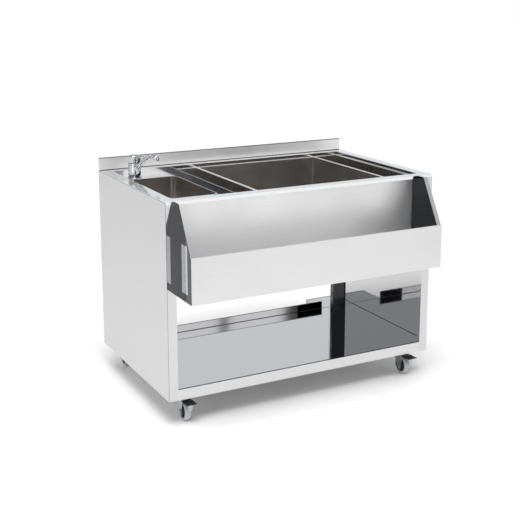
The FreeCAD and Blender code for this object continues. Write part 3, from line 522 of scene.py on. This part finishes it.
rise = math.radians(33.0)
droop = math.radians(14.0)
bend_radius = 20.0
root = Vector((8, 0, 43))
rising = Vector((math.cos(rise), 0, math.sin(rise)))
knee = root + rising * 118
bend_centre = knee + Vector((math.sin(rise), 0, -math.cos(rise))) * bend_radius
crest = bend_centre + Vector((math.sin(droop), 0, math.cos(droop))) * bend_radius
falling = Vector((math.cos(droop), 0, -math.sin(droop)))
spout_end = crest + falling * 22
start = Matrix.Translation(root + rising * 12) @ Matrix.Rotation(math.radians(90) - rise, 4, "Y")
ring = round_bar(spout, 10.0, start)
for step in range(6):
    ring = push(spout, ring, rising * 106 / 6)
    middle = root + rising * (12 + 106 * (step + 1) / 6)
    shrink = 1 - 0.25 * (step + 1) / 6
    now = 1 if step == 0 else 1 - 0.25 * step / 6
    factor = shrink / now
    verts = [item for item in ring if isinstance(item, bmesh.types.BMVert)]
    bmesh.ops.scale(spout, vec=(factor,) * 3, space=Matrix.Translation(-middle), verts=verts)
ring = bend(spout, ring, bend_centre, (0, 1, 0), rise + droop, 14)
ring = push(spout, ring, falling * 22)
close_ring(spout, ring)

head = bmesh.new()
head_section = [(0, 8.5), (5, 8.4), (8, 7.7), (10, 6.2), (11, 3.5), (11, -6.6), (10.6, -7), (0, -7)]
turn_section(head, head_section, steps=64)
bmesh.ops.translate(head, vec=(spout_end.x + 4, 0, spout_end.z), verts=head.verts)
head_mesh = bpy.data.meshes.new("spout_head_part")
head.to_mesh(head_mesh)
head.free()
spout.from_mesh(head_mesh)
bpy.data.meshes.remove(head_mesh)
add_piece("tap_spout_chrome", spout, tap_place, chrome, "spout", ["tap_spout"], crease=40)
print("spout ends", [round(v) for v in spout_end], "mm from the tap's foot")

# %% Cap and lever
pivot_height = 74.5
cap_section = [
    (0, 25.5), (9, 25.3), (15, 24.7), (19.5, 23.6), (22.8, 21.9), (25, 19.2), (26, 15.5), (26, 2.2),
    (25.6, 1.2), (24.6, 1.0), (24.2, 3.1), (22.6, 9.2), (19.0, 15.3), (13.0, 20.6), (6.0, 23.7), (0, 24.4),
]
lever = bmesh.new()
turn_section(lever, cap_section, steps=96)
arm_side = 9.2
arm_height = 22.2
arm_radius = 3.2
nose_reach = 53.5
arm_start = 15.0
arm_root = Vector((arm_start, -arm_side, arm_height))
section_place = Matrix.Translation(arm_root) @ Matrix.Rotation(math.radians(90), 4, "Y")
arm = round_bar(lever, arm_radius, section_place, segments=20)
arm_verts = [item for item in arm if isinstance(item, bmesh.types.BMVert)]
bmesh.ops.scale(lever, vec=(1, 1, 0.72), space=Matrix.Translation(-arm_root), verts=arm_verts)
close_ring(lever, arm)
arm = push(lever, arm, (nose_reach - arm_start, 0, 0))
arm = bend(lever, arm, (nose_reach, 0, arm_height), (0, 0, 1), math.pi, 28)
arm = push(lever, arm, (arm_start - nose_reach, 0, 0))
close_ring(lever, arm)
cap_reach = 27.0
loop_verts = [
    vert for vert in lever.verts
    if vert.co.x > arm_start - 0.1 and abs(vert.co.z - arm_height) < 3.5 and vert.co.length > cap_reach
]
slope = Matrix.Rotation(math.radians(4.0), 3, "Y")
bmesh.ops.rotate(lever, cent=(18, 0, 24.5), matrix=slope, verts=loop_verts)
bmesh.ops.translate(lever, vec=(0, 0, pivot_height), verts=lever.verts)
add_piece("tap_lever_chrome", lever, tap_place, chrome, "lever", ["tap_lever"], crease=40)
print("lever pieces done")

# %% [markdown]
# ## Castor wheels
# The tyre is a grey rubber ring with a rounded tread that sits on the hub's rim. It is one spun
# section, turned so that its axis runs across the fork. Each pedal has moulded ridges on top, so
# that a shoe doesn't slip off it.

# %% Tyres and pedal ridges
tyre_section = [
    (31, -11.8), (33, -12.6), (36, -12.4), (38, -11.2), (39.2, -9.0), (39.8, -6.0), (40, -2.5),
    (40, 2.5), (39.8, 6.0), (39.2, 9.0), (38, 11.2), (36, 12.4), (33, 12.6), (31, 11.8),
]
across = Matrix.Rotation(math.radians(90), 4, "Y")
for corner in ("front_left", "front_right", "rear_left", "rear_right"):
    low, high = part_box("tyre_" + corner)
    tyre = bmesh.new()
    turn_section(tyre, tyre_section, closed=True, steps=96)
    wheel_place = Matrix.Translation((low + high) / 2) @ across
    add_piece(
        "tyre_rubber_" + corner, tyre, wheel_place, tyre_rubber, "wheel_" + corner,
        ["tyre_" + corner],
    )

ridge_pitch = 5.5
ridge_reach = 17.0
for corner in ("front_left", "front_right"):
    low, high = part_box("pedal_" + corner)
    middle = (low + high) / 2
    ridges = bmesh.new()
    for row in range(5):
        y = row * ridge_pitch
        block(ridges, (-ridge_reach, y - 1.1, -0.6), (ridge_reach, y + 1.1, 0.7), bevel=0.4)
    pedal_top = Matrix.Translation((middle.x, low.y + 0.006, high.z - 0.0002))
    add_piece("pedal_ridges_" + corner, ridges, pedal_top, black_plastic, "pedal_" + corner)
print("tyres and ridges done")

# %% [markdown]
# ## Painted shadow lines at the joints of the top
# Where the pressed top meets the side sheets, a thin dark bead stands in for the shadow line of
# the seam: it is painted shadow. It stands a fifth of a millimetre proud, which is enough to draw
# the edge of the top. Another dark bead, also painted shadow, lies along the foot of the backsplash.

# %% Painted seam shadow lines
# The beads below are painted shadow: dark strips put where the seams show a shadow line.
seam_shadow_finish = moulded("painted_seam_shadow", (0.06, 0.06, 0.065), 0.6, (0.09, 0.09, 0.09), 300.0, 0.00005)
bead_proud = 0.2
bead_inset = 1.0
half_width = side_high.x * 1000
side_front = side_low.y * 1000
side_back = side_high.y * 1000
side_top = side_high.z * 1000
splash_face = back_low.y * 1000
splash_foot = side_top + 1.5
for side, edge in (("left", -half_width), ("right", half_width)):
    bead = bmesh.new()
    low = (edge - bead_proud, side_front + bead_inset, side_top - 1.9)
    high = (edge + bead_proud, side_back - bead_inset, side_top - 0.1)
    block(bead, low, high, bevel=0.15, segments=2)
    add_piece("top_seam_shadow_bead_" + side, bead, Matrix.Identity(4), seam_shadow_finish, "cabinet")
bead = bmesh.new()
bead_end = half_width - bead_inset
low = (-bead_end, splash_face - 1.6, splash_foot - 0.2)
high = (bead_end, splash_face + 0.2, splash_foot + 2.2)
block(bead, low, high, bevel=0.4, segments=2)
add_piece("backsplash_seam_shadow_bead", bead, Matrix.Identity(4), seam_shadow_finish, "cabinet")
print("side sheet top at", round(side_high.z, 4))

# %% [markdown]
# ## Camera
# The photograph was taken from the left front, a little above the worktop, with a long lens. The
# angles and the distance were fitted to the station's corners.

# %% Camera at the photograph's angle
azimuth = math.radians(-27.83)
pitch = math.radians(12.02)
focal_pixels = 1002.3
vertical_shift = -0.12
image_side = 520.0
sensor = 36.0

camera_data = bpy.data.cameras.new("camera")
camera_data.sensor_width = sensor
camera_data.lens = sensor * focal_pixels / image_side
camera_data.shift_y = vertical_shift
camera = bpy.data.objects.new("camera", camera_data)
bpy.context.collection.objects.link(camera)
camera.location = (-1.951, -3.593, 1.654)
heading = Vector((
    -math.sin(azimuth) * math.cos(pitch),
    math.cos(azimuth) * math.cos(pitch),
    -math.sin(pitch),
))
camera.rotation_mode = "QUATERNION"
camera.rotation_quaternion = heading.to_track_quat("-Z", "Y")
bpy.context.scene.camera = camera
print("lens", round(camera_data.lens, 1), "mm")

# %% [markdown]
# ## Floor and light
# A product studio: a white floor, a white surround that is greyer overhead, a broad ceiling fill
# for the soft shadow, a large soft box above and a narrow one at the left. Steel shows what stands
# round it, so the grey overhead draws the folds. Four cards give the mirror sheet something light
# or dark to show. Only reflections see them, and they stay in place when the view moves.

# %% Floor
floor_finish = Finish("white_floor", (0.95, 0.95, 0.95), 0.0, 0.75)
floor_speckle = floor_finish.noise(40.0, detail=3.0)
floor_finish.join(
    floor_finish.blend(floor_finish.spread(floor_speckle, 0, 1), (0.94, 0.94, 0.94), (0.96, 0.96, 0.96)),
    floor_finish.shader.inputs["Base Color"],
)
floor_bm = bmesh.new()
bmesh.ops.create_grid(floor_bm, x_segments=2, y_segments=2, size=30.0)
floor_mesh = bpy.data.meshes.new("studio_floor")
floor_bm.to_mesh(floor_mesh)
floor_bm.free()
floor_mesh.materials.append(floor_finish.material)
floor = bpy.data.objects.new("studio_floor", floor_mesh)
bpy.context.collection.objects.link(floor)

# %% Cards that only reflections see


def card(name, centre, size, turn, strength):
    """An upright card, turned about Z, that the camera doesn't see and that casts no shadow."""
    finish = Finish(name, (0, 0, 0), 0.0, 1.0)
    finish.shader.inputs["Specular IOR Level"].default_value = 0.0
    finish.shader.inputs["Emission Color"].default_value = (0.95, 0.975, 1.0, 1.0)
    finish.shader.inputs["Emission Strength"].default_value = strength
    bm = bmesh.new()
    bmesh.ops.create_grid(bm, x_segments=1, y_segments=1, size=0.5)
    bmesh.ops.scale(bm, vec=(*size, 1.0), verts=bm.verts)
    bmesh.ops.rotate(bm, cent=(0, 0, 0), matrix=Matrix.Rotation(math.radians(90), 3, "X"), verts=bm.verts)
    bmesh.ops.rotate(bm, cent=(0, 0, 0), matrix=Matrix.Rotation(math.radians(turn), 3, "Z"), verts=bm.verts)
    bmesh.ops.translate(bm, vec=centre, verts=bm.verts)
    mesh = bpy.data.meshes.new(name)
    bm.to_mesh(mesh)
    bm.free()
    mesh.materials.append(finish.material)
    board = bpy.data.objects.new(name, mesh)
    bpy.context.collection.objects.link(board)
    board.visible_camera = False
    board.visible_diffuse = False
    board.visible_shadow = False
    board.visible_transmission = False


card("light_card_behind", (1.9, 3.0, 1.4), (3.2, 1.0), 0, 0.86)
card("dark_card_behind", (-1.9, 3.0, 1.4), (4.2, 1.0), 0, 0.47)
card("dark_card_in_front", (-0.92, -2.69, 0.75), (1.0, 1.5), -8, 0.01)
card("dark_card_at_right", (2.3, -0.85, 0.75), (0.9, 1.5), 68, 0.01)

# %% World and lights
world = bpy.data.worlds.new("studio")
bpy.context.scene.world = world
world.use_nodes = True
sky = world.node_tree
sky_shader = sky.nodes["Background"]
sky_place = sky.nodes.new("ShaderNodeTexCoord")
sky_axes = sky.nodes.new("ShaderNodeSeparateXYZ")
sky_ramp = sky.nodes.new("ShaderNodeValToRGB")
sky.links.new(sky_place.outputs["Generated"], sky_axes.inputs[0])
sky.links.new(sky_axes.outputs["Z"], sky_ramp.inputs["Fac"])
sky.links.new(sky_ramp.outputs["Color"], sky_shader.inputs["Color"])
sky_stops = [(0.0, 1.0), (0.36, 1.0), (0.46, 0.5), (1.0, 0.5)]
sky_points = sky_ramp.color_ramp.elements
while len(sky_points) < len(sky_stops):
    sky_points.new(0.5)
for point, (height, grey) in zip(sky_points, sky_stops):
    point.position = height
    point.color = (grey, grey, grey, 1)
sky_shader.inputs["Strength"].default_value = 1.0


def soft_light(name, place, aim, size, power):
    data = bpy.data.lights.new(name, "AREA")
    data.shape = "RECTANGLE"
    data.size, data.size_y = size
    data.energy = power
    lamp = bpy.data.objects.new(name, data)
    bpy.context.collection.objects.link(lamp)
    lamp.location = place
    lamp.rotation_mode = "QUATERNION"
    lamp.rotation_quaternion = (Vector(aim) - Vector(place)).to_track_quat("-Z", "Y")
    return lamp


sun_data = bpy.data.lights.new("ceiling_fill", "SUN")
sun_data.energy = 1.75
sun_data.angle = math.radians(34)
sun = bpy.data.objects.new("ceiling_fill", sun_data)
bpy.context.collection.objects.link(sun)
sun.rotation_mode = "QUATERNION"
sun.rotation_quaternion = Vector((0.16, 0.34, -1.0)).to_track_quat("-Z", "Y")
soft_light("overhead_box", (-0.4, -0.4, 3.6), (0, 0, 0.5), (3.0, 2.2), 24)
soft_light("left_strip", (-3.2, -1.5, 2.0), (-0.4, 0, 0.8), (0.5, 1.6), 14)
bpy.context.scene.view_settings.view_transform = "Standard"
